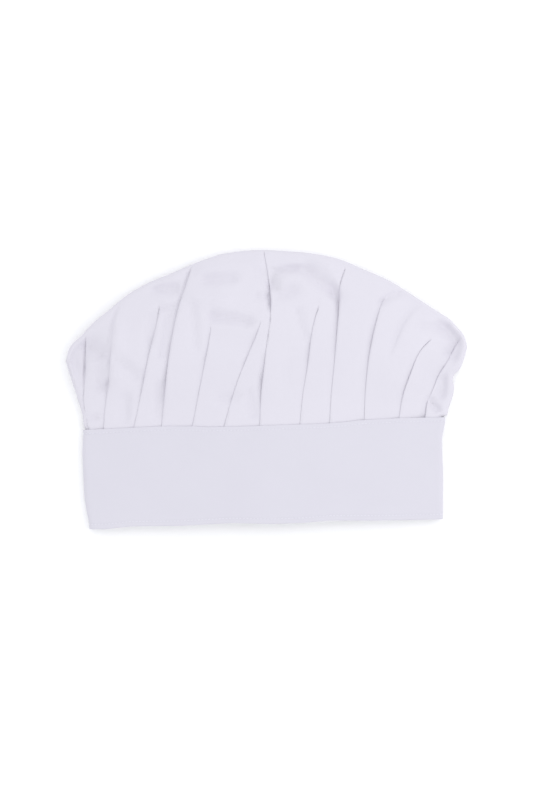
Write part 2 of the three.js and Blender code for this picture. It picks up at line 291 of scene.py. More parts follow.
# One fold from left to right. A point lies its share of the margin, plus its share of the reach,
# from the folded edge, and its depth is in steps. The middle layer lies between the two that show.
FOLD_PATH = [
    # margin, reach, depth
    (-1.00, 0.00, 0.64),
    (-0.62, 0.00, 0.92),
    (-0.30, 0.00, 1.03),
    (0.10, 0.20, 1.06),
    (0.12, 1.00, 1.00),
    (0.12, 1.00, 0.82),
    (0.12, 0.45, 0.80),
    (0.24, 0.02, 0.78),
    (0.11, 0.00, 0.62),
    (0.15, 0.00, 0.42),
    (0.30, 0.00, 0.22),
    (0.54, 0.00, 0.07),
    (1.00, 0.00, 0.00),
]
FOLD_MARGIN = 3.0  # mm on each side of the folded edge that belong to the fold
FOLD_REACH = 8.0  # mm that a panel runs under the next one, at the band
MARGIN_SHARE = 0.3  # the most that a margin takes of a panel's width
LAP_SHARE = 0.6  # the most that a reach takes of it

columns = []
for k in range(len(lines) - 1):
    more = END_COLUMNS if k in (0, len(lines) - 2) else 0
    faces = np.linspace(0, 1, FACE_COLUMNS + more) ** FACE_SPREAD
    columns += [{"line": k, "face": f} for f in faces]
    if k + 1 < len(lines) - 1:
        columns += [{"line": k + 1, "fold": q} for q in range(1, len(FOLD_PATH) - 1)]
print("grid of", len(row_up), "rows by", len(columns), "columns, twice")

# %% [markdown]
# ## From the grid to places on the hat
#
# First the plan: where each point of the grid lies when it is looked at from above. A distance
# along a row is measured from a pleat's line, in millimetres, to its right or to its left, and near
# the top the rows bend with the outer edge.

# %% Plan of the pleat lines
BOW_POWER = 3  # the higher, the nearer to the top the rows start to bend
CHUNK = 400  # places measured at a time, which saves memory

up = row_up[:, None]
line_points = [along(item["line"], row_up) for item in lines]
widths = [np.linalg.norm(b - a, axis=1) for a, b in zip(line_points, line_points[1:])]


def beside(k, distance):
    """Places at a distance along the rows from line k: to its right, or to its left if below 0."""
    panel = np.where(distance < 0, k - 1, k).clip(0, len(widths) - 1)
    places = np.zeros((len(row_up), 2))
    for number in np.unique(panel):
        share = distance / widths[number] + (number < k)
        start, end = line_points[number], line_points[number + 1]
        edge_share = mix(lines[number]["share"], lines[number + 1]["share"], share)
        bow = along(top_line, edge_share) - mix(start[-1], end[-1], share[:, None])
        spot = mix(start, end, share[:, None]) + bow * up**BOW_POWER
        places = np.where((panel == number)[:, None], spot, places)
    places[:, 1] = np.where(is_tuck, row_y, places[:, 1])
    return places


def edge_distance(places):
    """Distance of each place from the crown's outer edge."""
    starts, runs = edge_line[:-1], np.diff(edge_line, axis=0)
    best = np.full(len(places), np.inf)
    for chunk in np.array_split(np.arange(len(places)), max(len(places) // CHUNK, 1)):
        gap = places[chunk, None] - starts
        share = ((gap * runs).sum(2) / (runs * runs).sum(1)).clip(0, 1)
        best[chunk] = np.linalg.norm(gap - share[..., None] * runs, axis=2).min(1)
    return np.where(places[:, 1] <= EMERGE, RIM - np.abs(places[:, 0]), best)


# %% How each fold lies on its way up
START_RUN = 12.0  # mm over which a fold that starts above the band deepens
FADE_RUN = 16.0  # mm over which a fold fades out
EDGE_FADE = 7.0  # mm over which it flattens at the outer edge
OPEN_RUN = 14.0  # mm over which an opening fold comes apart
OPENED = 0.85  # share by which it has come apart then
FLAT_STEP = 0.12  # mm of step below which a fold begins to lie flat
SHUT_BY = 0.5  # a fold is fully shut from this share of its full depth
TAPER_POWER = 0.7  # below 1, the reach stays wide for longer on the way up


def fold_state(k):
    """For each row: how far fold k is pressed shut, its depth and its reach under the next panel."""
    pleat = lines[k]["pleat"]
    start, fade = pleat["shows"]
    y = line_points[k][:, 1]
    started = smoothstep(y, start, start + START_RUN) if start else 1.0
    alive = started * smoothstep(edge_distance(line_points[k]), 0, EDGE_FADE)
    alive = alive * (1 - smoothstep(y, fade - FADE_RUN, fade))
    taper = np.clip(1 - np.maximum(y, 0) / fade, 0, 1) ** TAPER_POWER
    opens = pleat.get("opens", fade)
    pressed = 1 - OPENED * smoothstep(y, opens, opens + OPEN_RUN)
    heights, steps = np.array(pleat["steps"], float).T
    step = np.interp(y, heights, steps)
    return {
        "shut": smoothstep(alive, 0, SHUT_BY) * pressed * smoothstep(step, 0, FLAT_STEP),
        "depth": step * alive,
        "reach": FOLD_REACH * taper * alive,
        "alive": smoothstep(alive, 0, SHUT_BY),
        "left": np.minimum(FOLD_MARGIN, MARGIN_SHARE * widths[k - 1]),
        "right": np.minimum(FOLD_MARGIN, MARGIN_SHARE * widths[k]),
    }


no_fold = {key: np.zeros(len(row_up)) for key in ("shut", "depth", "reach", "alive", "left", "right")}
folds = [no_fold, *[fold_state(k) for k in range(1, len(lines) - 1)], no_fold]

BACK_DEPTH = 0.6  # the pleats on the back are pressed flatter, by this share
FACE_SLOPE = 0.3  # share of the depth that a panel's face has lost, evenly, by the next fold
FACE_ROLL = FOLD_PATH[0][2] - FACE_SLOPE  # share that it loses close beside the fold
ROLL_WIDTH = 2.2  # mm
CLOTH_CLEARANCE = 0.42  # mm that the layer under a panel lies below it, however small the step is
NEXT_LAYER = 0.8  # depth in the fold's table of that layer
LAYER_SPACING = 1.6  # mm between layers for each unit of depth in the table
HIDDEN_FROM = 0.2  # share of the reach from which a layer is out of sight


def column_places(column, facing):
    """The plan of one column, and how far each point lies below the crown's surface."""
    k = column["line"]
    last_fold = len(FOLD_PATH) - 1
    if "face" in column:
        left, right, share = folds[k], folds[k + 1], column["face"]
        run = widths[k] - right["left"] - left["right"]
        distance = left["right"] + run * share
        if facing == "front":
            dip = FACE_SLOPE * share + FACE_ROLL * np.exp(-run * (1 - share) / ROLL_WIDTH)
            return beside(k, distance), right["depth"] * dip
        dip = FACE_SLOPE * (1 - share) + FACE_ROLL * np.exp(-run * share / ROLL_WIDTH)
        return beside(k, distance), BACK_DEPTH * left["depth"] * dip
    fold, step = folds[k], column["fold"]
    turned = facing == "back"
    margin, reach, depth = FOLD_PATH[last_fold - step if turned else step]
    flat_share = step / last_fold
    side = -1 if turned else 1
    side_margin = np.where(side * margin < 0, fold["left"], fold["right"])
    lap = np.minimum(fold["reach"], LAP_SHARE * widths[k - 1 if turned else k])
    folded = side * (margin * side_margin + reach * lap)
    spread = mix(-fold["left"], fold["right"], flat_share)
    shut = fold["shut"]
    flat_depth = FOLD_PATH[0][2] * (flat_share if turned else 1 - flat_share)
    scale = BACK_DEPTH if turned else 1.0
    below = scale * fold["depth"] * mix(flat_depth, depth, shut)
    hidden = shut * min(reach / HIDDEN_FROM, 1) * fold["alive"]
    clear = CLOTH_CLEARANCE + LAYER_SPACING * (depth - NEXT_LAYER)
    return beside(k, mix(spread, folded, shut)), np.maximum(below, hidden * clear)


# %% [markdown]
# ## Height of the puffed bag
#
# Inside the band the crown has the band's own section, a flattened loop with a tight fold at each
# side. Above the band it swells into a bag with a rounded outer edge, and its back comes down to the
# surface that the hat lies on.

# %% Section of the flattened loop
BAND_HALF_WIDTH = 151.0
BAND_LOFT = 17.0  # thickness of the flattened loop in the middle
BAND_WALL = 1.6
FOLD_RADIUS = 4.5  # of the loop's side folds
RIM_INSET = 2.1  # the crown's rim lies this far inside the band's outer face
EDGE_WALL = 0.4  # thickness of the band at its top edge, which is only turned cloth
EDGE_INSET = 0.55  # the crown lies this far inside the outer face there
THINNING = (-4.0, 0.6)  # y between which the wall gets thinner


def near_edge(y):
    """From 0, where the band has its full wall, to 1 at its top edge."""
    return smoothstep(y, *THINNING)


def loop_arc(half_width, loft):
    """The long shallow arc over the loop: its radius, its centre's height, and where it ends."""
    fold_x = half_width - FOLD_RADIUS
    swell = loft - 2 * FOLD_RADIUS
    radius = FOLD_RADIUS + (fold_x**2 + swell**2) / (2 * swell)
    centre = loft - radius
    angle = np.arctan2(FOLD_RADIUS - centre, fold_x)
    return radius, centre, angle, fold_x


def fold_height(x, fold_x, inset):
    return np.sqrt(np.maximum((FOLD_RADIUS - inset) ** 2 - (np.abs(x) - fold_x) ** 2, 0))


def loop_above(x, inset):
    radius, centre, angle, fold_x = loop_arc(BAND_HALF_WIDTH, BAND_LOFT)
    meet = fold_x + (FOLD_RADIUS - inset) * np.cos(angle)
    arc = centre + np.sqrt(np.maximum((radius - inset) ** 2 - x**2, 0))
    return np.where(np.abs(x) <= meet, arc, FOLD_RADIUS + fold_height(x, fold_x, inset))


def loop_below(x, inset):
    fold_x = BAND_HALF_WIDTH - FOLD_RADIUS
    return np.where(np.abs(x) <= fold_x, inset, FOLD_RADIUS - fold_height(x, fold_x, inset))


# %% Height of the bag
CROWN_HEIGHT = 32.0
ROLL_HEIGHT = 9.0  # height of the outer edge
FRONT_ROLL = 3.0  # from the outer edge, the run in which the front turns over
FRONT_TURN = 8.0  # height that it gains there
FRONT_REACH = 75.0  # from the outer edge to the full height
BACK_REACH = 12.0  # from the outer edge to the surface, on the back
DOME_POWER = 2.6  # the higher, the sooner the front comes near its full height
RISE_END = 72.0  # y by which the bag has risen from the band
RISE_ROUNDING = 0.8  # how far that rise is rounded: 0 is a straight slope, 1 a full S
SETTLE_END = 10.0  # y by which its back has come down to the surface
INSET_RUN = 6.0  # from the outer edge, the run in which the inset changes


def bag_height(facing, distance, y):
    climb = np.clip((y - EMERGE) / (RISE_END - EMERGE), 0, 1)
    risen = mix(climb, smoothstep(y, EMERGE, RISE_END), RISE_ROUNDING)
    inset = mix(RIM_INSET, EDGE_INSET, near_edge(y) * smoothstep(distance, 0, INSET_RUN))
    edge_height = mix(FOLD_RADIUS, ROLL_HEIGHT, risen)
    rim_x = RIM - distance
    if facing == "front":
        turned = np.sqrt(1 - (1 - np.minimum(distance / FRONT_ROLL, 1)) ** 2)
        domed = 1 - (1 - np.minimum(distance / FRONT_REACH, 1)) ** DOME_POWER
        swell = FRONT_TURN * turned + (CROWN_HEIGHT - ROLL_HEIGHT - FRONT_TURN) * domed
        return edge_height + mix(loop_above(rim_x, inset) - FOLD_RADIUS, swell, risen)
    t = np.minimum(distance / BACK_REACH, 1)
    share = 1 - np.sqrt(1 - (1 - t) ** 2)
    settled = smoothstep(y, EMERGE, SETTLE_END)
    return edge_height * mix(loop_below(rim_x, inset) / FOLD_RADIUS, share, settled)


# %% [markdown]
# ## Puffs, dents and creases
#
# Soft cloth is never even. Each row of this table presses or lifts the front along a line: how wide
# the mark is, how high, and the places it runs through. A sharp crease is a narrow row, a puff is a
# wide row with a lift above zero. Fine unevenness comes from smooth noise with a fixed pattern.

# %% Table of puffs, dents and creases
MARKS = [
    # width, lift, then the places
    # the left shoulder
    (12.0, -4.4, (-155, 57), (-145, 68)),
    (14.0, -2.4, (-152, 66), (-146, 48)),
    (7.0, -4.4, (-139, 69), (-130, 65)),
    (5.0, -3.0, (-131.5, 60), (-132.5, 36)),
    (3.0, -2.2, (-147, 10), (-138, 11)),
    (4.2, -2.6, (-114, 6), (-112, 26)),
    (5.0, -3.0, (-118, 58), (-103, 45)),
    (7.0, 2.6, (-119, 84), (-121, 44)),
    (8.0, 2.4, (-132, 92), (-122, 96)),
    # the left half
    (4.4, -1.8, (-88, 94), (-91, 72)),
    (3.6, -2.2, (-81, 60), (-74, 92)),
    (3.6, -1.8, (-85.5, 6), (-83.5, 36)),
    (3.2, -2.4, (-81, 99), (-71, 100)),
    (4.6, -3.6, (-84, 116), (-68, 115.5)),
    (4.6, 1.6, (-86, 123), (-70, 125)),
    (4.2, -2.4, (-54, 102), (-52, 68)),
    (7.0, 2.4, (-52, 106), (-30, 104)),
    (4.6, -4.4, (-37, 91.5), (-24, 90), (-8, 86)),
    (9.0, -2.6, (-36, 72), (-12, 70)),
    (4.2, -2.8, (-42, 122), (-20, 122.5)),
    (5.4, 3.0, (-46, 131.5), (-20, 133.5), (2, 134.5)),
    (3.2, -2.0, (0, 107), (7, 107)),
    (4.2, -2.4, (-32, 23.5), (-20, 25)),
    (4.2, -2.4, (-9, 26), (-6, 10)),
    # the tucks under the top edge
    (3.4, -4.6, (12, 115), (15, 122.5), (18, 127.5), (25, 129.5), (33, 130)),
    (5.5, -1.7, (33, 127), (42, 127.5)),
    (5.0, -1.8, (4, 123), (11, 119)),
    (5.0, -3.8, (42, 127.5), (48, 121.5), (55, 115), (62, 109)),
    (4.5, -2.6, (63, 113), (66, 105)),
    (6.0, 3.6, (51, 138), (58, 132), (64, 124)),
    (5.4, -3.6, (19, 108.5), (29, 111.5)),
    (3.4, -2.0, (33.5, 94), (35, 84), (39, 73)),
    (7.0, -0.8, (24, 60), (20, 30)),
    # the right shoulder
    (3.2, -2.8, (103, 99.5), (110, 104), (119, 107.5)),
    (4.0, -2.4, (136, 78.5), (149, 78)),
    (14.0, -4.2, (148, 64), (142, 26)),
    (8.0, -6.2, (160, 55), (164, 64), (162, 71), (157, 76)),
    (3.6, -3.4, (142, 16), (146, 7)),
    (4.0, -3.0, (147, 5), (153, 4)),
    (4.5, -3.0, (151, 21), (153, 33)),
]
WRINKLE_LAYERS = [
    # size of the pattern, mm; height, mm
    (46.0, 0.8),
    (19.0, 0.5),
    (8.0, 0.18),
]
WRINKLE_SEED = 3


def marks_height(places, marks):
    """How far the marks lift each place."""
    lift = np.zeros(len(places))
    for width, height, *spots in marks:
        gap = np.full(len(places), np.inf)
        for start, end in zip(np.array(spots, float), np.array(spots[1:], float)):
            run = end - start
            share = (((places - start) @ run) / (run @ run)).clip(0, 1)
            gap = np.minimum(gap, np.linalg.norm(places - start - share[:, None] * run, axis=1))
        lift += height * np.exp(-((gap / width) ** 2))
    return lift


def noise_height(places, layers, seed):
    total = np.zeros(len(places))
    for size, height in layers:
        spots = np.column_stack([places / size, np.full(len(places), seed + size)])
        total += height * np.array([noise.noise(spot) for spot in spots])
    return total


# %% [markdown]
# ## The crown
#
# Front and back are two heights over one plan, joined along the outer edge, so the crown is one bag
# with a single opening at its rim. Solidify then gives the cloth its thickness.

# %% How the seam pulls the cloth
SEAM_RISE = [
    # x, rise above the band's level
    (-150, -0.7), (-116, -0.2), (-84, 0.4), (-60, -0.2), (-44, -1.4), (-20, -1.7), (20, -1.6),
    (52, -1.5), (68, -0.7), (84, 0.5), (116, 1.2), (150, 0.6),
]
SEAM_SHIFT = [
    # x, shift to the right: the sides are pulled over a little at the seam
    (-150, 1.4), (-110, 0), (105, 0), (150, 3.3),
]
# y over which each comes in below the seam, and goes out above it
RISE_IN, RISE_OUT = (-40, -6), (4, 40)
SHIFT_IN, SHIFT_OUT = (-20, 1), (2, 16)


def seam_move(x, y):
    """How far the seam carries the cloth to the right and up."""
    rise_x, rise = np.array(SEAM_RISE, float).T
    shift_x, shift = np.array(SEAM_SHIFT, float).T
    across = np.interp(x, shift_x, shift) * smoothstep(y, *SHIFT_IN) * (1 - smoothstep(y, *SHIFT_OUT))
    up = np.interp(x, rise_x, rise) * smoothstep(y, *RISE_IN) * (1 - smoothstep(y, *RISE_OUT))
    return across, up


# %% Heights over the plan
# Where the unevenness comes in: the distance from the outer edge, then the y, in mm.
MARKS_IN = ((0, 8), (1, 12))
WRINKLES_IN = ((0, 14), (2, 26))
BACK_FOLDS_IN = (0, 8)  # distance from the outer edge


def comes_in(distance, y, runs):
    return smoothstep(distance, *runs[0]) * smoothstep(y, *runs[1])


def crown_sheet(facing):
    plans, dips = zip(*[column_places(column, facing) for column in columns])
    plan = np.stack(plans, axis=1)
    dip = np.stack(dips, axis=1).ravel()
    places = plan.reshape(-1, 2)
    distance = edge_distance(places)
    shape = plan.shape[:2]
    on_edge = np.zeros(shape, bool)
    on_edge[:, 0] = on_edge[:, -1] = on_edge[-1] = True
    distance = np.where(on_edge.ravel(), 0, distance)
    height = bag_height(facing, distance, places[:, 1])
    if facing == "front":
        marked = comes_in(distance, places[:, 1], MARKS_IN)
        wrinkled = comes_in(distance, places[:, 1], WRINKLES_IN)
        height = height - dip + marked * marks_height(places, MARKS)
        height += wrinkled * noise_height(places, WRINKLE_LAYERS, WRINKLE_SEED)
    else:
        height = height + dip * smoothstep(distance, *BACK_FOLDS_IN)
    across, up = seam_move(places[:, 0], places[:, 1])
    return np.column_stack([places[:, 0] + across, places[:, 1] + up, height]).reshape(*shape, 3)


front = crown_sheet("front")
back = crown_sheet("back")
print("front height", front[..., 2].min().round(1), "to", front[..., 2].max().round(1), "mm")


# %% Helpers that make a piece
def new_piece(name, points, faces, uvs=None):
    mesh = bpy.data.meshes.new(name)
    mesh.from_pydata(to_metres(points).tolist(), [], faces)
    mesh.update()
    if uvs is not None:
        layer = mesh.uv_layers.new(name="cloth")
        corners = np.empty(len(mesh.loops), int)
        mesh.loops.foreach_get("vertex_index", corners)
        layer.data.foreach_set("uv", np.asarray(uvs, float)[corners].ravel())
    mesh.polygons.foreach_set("use_smooth", np.ones(len(mesh.polygons), bool))
    piece = bpy.data.objects.new(name, mesh)
    bpy.context.collection.objects.link(piece)
    return piece


def apply_modifiers(piece):
    """Turns a piece with modifiers into a plain mesh."""
    graph = bpy.context.evaluated_depsgraph_get()
    mesh = bpy.data.meshes.new_from_object(piece.evaluated_get(graph))
    piece.modifiers.clear()
    piece.data = mesh
    mesh.name = piece.name


def give_thickness(piece, thickness):
    wall = piece.modifiers.new("thickness", "SOLIDIFY")
    wall.thickness = thickness * MM
    wall.offset = -1
    apply_modifiers(piece)


def press_flat(piece):
    """Brings up to the table what the cloth's thickness has pushed through it."""
    points = np.empty(3 * len(piece.data.vertices))
    piece.data.vertices.foreach_get("co", points)
    points[2::3] = np.maximum(points[2::3], 0)
    piece.data.vertices.foreach_set("co", points)
    piece.data.update()


# %% Sew front and back into one bag
CLOTH = 0.3  # thickness of the crown's cloth, mm


def bag_faces(rows, width):
    """Faces of a front and a back grid whose sides and top are one line of points."""
    index = np.arange(rows * width).reshape(rows, width)
    inner = np.zeros((rows, width), bool)
    inner[:-1, 1:-1] = True
    back_index = index.copy()
    back_index[inner] = rows * width + np.arange(inner.sum())
    faces = []
    for grid, outward in ((index, True), (back_index, False)):
        quads = np.stack([grid[:-1, :-1], grid[:-1, 1:], grid[1:, 1:], grid[1:, :-1]], axis=-1)
        quads = quads.reshape(-1, 4)
        faces += (quads if outward else quads[:, ::-1]).tolist()
    return faces, inner


row_count, column_count = front.shape[:2]
crown_faces, back_only = bag_faces(row_count, column_count)
crown_points = np.vstack([front.reshape(-1, 3), back[back_only]])

across = np.linalg.norm(np.diff(front[row_count // 3], axis=0), axis=1)
climb = np.linalg.norm(np.diff(front[:, column_count // 2], axis=0), axis=1)
cloth_u, cloth_v = np.meshgrid(
    np.concatenate([[0], np.cumsum(across)]), np.concatenate([[0], np.cumsum(climb)])
)
flat_uv = np.stack([cloth_u, cloth_v], axis=-1)
crown_uv = np.vstack([flat_uv.reshape(-1, 2), flat_uv[back_only]]) * MM

crown = new_piece("pleated_crown", crown_points, crown_faces, crown_uv)
give_thickness(crown, CLOTH)
press_flat(crown)
print("the crown has", sum(len(p.vertices) - 2 for p in crown.data.polygons), "triangles")

# %% [markdown]
# ## The band
#
# The band is a doubled strip, closed into a loop and laid flat. Its section is a ring whose wall is
# as thick as two layers and a backing, with rounded edges where the cloth is folded. Two rows of
# stitching press a shallow groove into it and pucker the hem a little.

# %% Width, edges and marks of the band
LEFT_SIDE = [(-83, -146.8), (-76, -147.1), (-70, -148.3), (-58, -150), (-30, -150.6), (BAND_TOP, -150.8)]
RIGHT_SIDE = [(-83, 149.8), (-70, 150.1), (-46, 151), (-20, 150.8), (BAND_TOP, 151)]
HEM = -83.0
HEM_LOFT = 15.0  # thickness of the flattened loop at the hem
LOFT_START = 10.0  # from this far below the seam, down to the hem, the loop gets thinner
HEM_DROP = [
    # x, how far the hem hangs lower
    (-150, -0.2), (-132, 0.1), (-112, -1.6), (-70, -0.9), (-26, -2), (6, -0.2), (36, -0.4), (54, -1.6),
    (92, -0.3), (128, 0.2), (150, 0.6),
]
TOP_STITCH = 3.2  # below the band's top edge
HEM_STITCH = 4.2  # above the hem
BAND_MARKS = [
    # width, lift, then the places
    (16, -0.9, (-108, -48), (-92, -66)),
    (8, -0.7, (-95, -68), (-52, -75)),
    (8, -0.6, (74, -72), (126, -52)),
    (16, -0.35, (10, -40), (40, -62)),
    (20, 0.35, (-30, -20), (-10, -50)),
]
BAND_WRINKLES = [(70.0, 0.8), (28.0, 0.25), (11.0, 0.06)]  # size of the pattern; height
BAND_SEED = 11
BAND_CALM = (-22, -6)  # y over which marks and wrinkles go out towards the seam
HANG_RUN = 40  # above the hem, the run in which its drop goes out
TURN_POINTS, UNDER_POINTS, OVER_POINTS = 15, 91, 151  # round a side fold, below and above the loop
GROOVE_DEPTH, GROOVE_WIDTH = 0.28, 0.7


def loop_ring(half_width, loft, inset):
    """Points once round the loop's section, starting at the left of the underside."""
    radius, centre, angle, fold_x = loop_arc(half_width, loft)
    fold = FOLD_RADIUS - inset
    turn = np.linspace(-math.pi / 2, angle, TURN_POINTS)[1:-1]
    reach = fold_x + fold * np.cos(angle)
    below = np.linspace(-fold_x, fold_x, UNDER_POINTS)
    above = np.linspace(reach, -reach, OVER_POINTS)
    side_x, side_z = fold_x + fold * np.cos(turn), FOLD_RADIUS + fold * np.sin(turn)
    x = np.concatenate([below, side_x, above, -side_x[::-1]])
    z = np.concatenate([
        np.full(len(below), inset),
        side_z,
        centre + np.sqrt((radius - inset) ** 2 - above**2),
        side_z[::-1],
    ])
    return x, z


def band_ring(y, inset):
    """One ring of the band at a height y of the flat pattern, and how far inside its outer face."""
    left, right = (np.interp(y, *np.array(side, float).T) for side in (LEFT_SIDE, RIGHT_SIDE))
    loft = mix(BAND_LOFT, HEM_LOFT, smoothstep(-y, LOFT_START, -HEM))
    x, z = loop_ring((right - left) / 2, loft, inset)
    x = x + (left + right) / 2
    drop_x, drop = np.array(HEM_DROP, float).T
    hang = np.interp(x, drop_x, drop) * (1 - smoothstep(y, HEM, HEM + HANG_RUN))
    across, up = seam_move(x, np.full(len(x), min(y, BAND_TOP)))
    places = np.column_stack([x, np.full(len(x), y)])
    on_front = smoothstep(z, FOLD_RADIUS, 2 * FOLD_RADIUS) * (1 - smoothstep(y, *BAND_CALM))
    uneven = marks_height(places, BAND_MARKS) + noise_height(places, BAND_WRINKLES, BAND_SEED)
    z = z + on_front * uneven
    return np.column_stack([x + across, y - hang + up, z])


def groove(y):
    """How far the stitching presses the outer face in."""
    rows = (BAND_TOP - TOP_STITCH, HEM + HEM_STITCH)
    return sum(GROOVE_DEPTH * np.exp(-(((y - row) / GROOVE_WIDTH) ** 2)) for row in rows)


# %% The wall of the band
CLOSE_RUN = 8.0  # from the hem and from the top edge, where the rows are closer together
HEM_ROWS, MIDDLE_ROWS, TOP_ROWS = 11, 26, 13
EDGE_POINTS = 7  # round the top edge and round the hem
MEASURED_ROW = 20  # row of the wall whose length stands for the cloth's width


def wall_profile():
    """Rows of the wall's section: up the outer face, over the top edge, down inside, round the hem."""
    half, edge = BAND_WALL / 2, EDGE_WALL / 2
    steps = np.concatenate([
        np.linspace(HEM + half, HEM + CLOSE_RUN, HEM_ROWS)[:-1],
        np.linspace(HEM + CLOSE_RUN, BAND_TOP - CLOSE_RUN, MIDDLE_ROWS)[:-1],
        np.linspace(BAND_TOP - CLOSE_RUN, BAND_TOP - edge, TOP_ROWS),
    ])
    rows = [(y, groove(y)) for y in steps]
    turns = np.linspace(0, math.pi, EDGE_POINTS)[1:-1]
    rows += [(BAND_TOP - edge + edge * math.sin(t), edge - edge * math.cos(t)) for t in turns]
    rows += [(y, mix(BAND_WALL, EDGE_WALL, near_edge(y))) for y in steps[::-2]]
    rows += [(HEM + half - half * math.sin(t), half + half * math.cos(t)) for t in turns]
    return rows


band_rows = wall_profile()
band_points = np.stack([band_ring(y, inset) for y, inset in band_rows])
ring_count, ring_size = band_points.shape[:2]
row_index = np.arange(ring_count)[:, None]
point_index = np.arange(ring_size)[None, :]
next_row, next_point = (row_index + 1) % ring_count, (point_index + 1) % ring_size
band_faces = np.stack([
    row_index * ring_size + next_point,
    row_index * ring_size + point_index,
    next_row * ring_size + point_index,
    next_row * ring_size + next_point,
], axis=-1).reshape(-1, 4)
round_steps = np.linalg.norm(np.diff(band_points[MEASURED_ROW], axis=0), axis=1)
ring_length = np.concatenate([[0], np.cumsum(round_steps)])
wall_length = np.concatenate([[0], np.cumsum(np.abs(np.diff([y for y, _ in band_rows])))])
band_u, band_v = np.meshgrid(ring_length, wall_length)
band_uv = np.stack([band_u, band_v], axis=-1).reshape(-1, 2) * MM
band = new_piece("folded_band", band_points.reshape(-1, 3), band_faces.tolist(), band_uv)
print("the band has", 2 * len(band_faces), "triangles")

# %% [markdown]
# ## Stitches
#
# Two rows of lockstitch go all round the band: one just below its top edge, which holds the pleats,
# and one above the hem. Geometry Nodes put one short length of thread at each step along a line
# that runs on the cloth.

# %% A tree that sews along a curve
def link(tree, start, end):
    tree.links.new(start, end)


def sewing_tree(material):
    tree = bpy.data.node_groups.new("sew along a line", "GeometryNodeTree")
    tree.interface.new_socket("Line", in_out="INPUT", socket_type="NodeSocketGeometry")
    for name in ("Step", "Stitch length", "Thread thickness"):
        tree.interface.new_socket(name, in_out="INPUT", socket_type="NodeSocketFloat")
    tree.interface.new_socket("Stitches", in_out="OUTPUT", socket_type="NodeSocketGeometry")
    node = {
        name: tree.nodes.new(kind)
        for name, kind in {
            "inputs": "NodeGroupInput",
            "resample": "GeometryNodeResampleCurve",
            "tangent": "GeometryNodeInputTangent",
            "align": "FunctionNodeAlignRotationToVector",
            "thread": "GeometryNodeMeshUVSphere",
            "size": "ShaderNodeCombineXYZ",
            "place": "GeometryNodeInstanceOnPoints",
            "real": "GeometryNodeRealizeInstances",
            "smooth": "GeometryNodeSetShadeSmooth",
            "finish": "GeometryNodeSetMaterial",
            "outputs": "NodeGroupOutput",
        }.items()
    }
    node["resample"].mode = "LENGTH"
    node["align"].axis = "X"
    node["thread"].inputs["Segments"].default_value = 8
    node["thread"].inputs["Rings"].default_value = 5
    node["thread"].inputs["Radius"].default_value = 0.5
    node["finish"].inputs["Material"].default_value = material
    inputs, size = node["inputs"].outputs, node["size"].inputs
    link(tree, inputs["Line"], node["resample"].inputs["Curve"])
    link(tree, inputs["Step"], node["resample"].inputs["Length"])
    link(tree, inputs["Stitch length"], size["X"])
    link(tree, inputs["Thread thickness"], size["Y"])
    link(tree, inputs["Thread thickness"], size["Z"])
    link(tree, node["tangent"].outputs["Tangent"], node["align"].inputs["Vector"])
    link(tree, node["resample"].outputs["Curve"], node["place"].inputs["Points"])
    link(tree, node["thread"].outputs["Mesh"], node["place"].inputs["Instance"])
    link(tree, node["align"].outputs["Rotation"], node["place"].inputs["Rotation"])
    link(tree, node["size"].outputs["Vector"], node["place"].inputs["Scale"])
    link(tree, node["place"].outputs["Instances"], node["real"].inputs["Geometry"])
    link(tree, node["real"].outputs["Geometry"], node["smooth"].inputs["Geometry"])
    link(tree, node["smooth"].outputs["Geometry"], node["finish"].inputs["Geometry"])
    link(tree, node["finish"].outputs["Geometry"], node["outputs"].inputs["Stitches"])
    return tree


# %% [markdown]
# ## Materials
#
# Both pieces are white polycotton with a faint cool tint, and the band's colour is the same cotton
# painted a little darker, as painted shade. The weave is a fine basket of threads, bumped from the
# cloth's own UV map so that it follows the folds, and a larger soft noise gives the small unevenness
# of washed cloth. A trace of sheen lightens it where it turns away.

# %% Cotton
def shader_nodes(material, kinds):
    material.use_nodes = True
    tree = material.node_tree
    tree.nodes.clear()
    return tree, {name: tree.nodes.new(kind) for name, kind in kinds.items()}


def set_inputs(node, values):
    for name, value in values.items():
        node.inputs[name].default_value = value


WAVE_TURN = 20.0  # radians that the wave texture turns in one unit, at scale 1
THREADS_PER_MM = 1.1


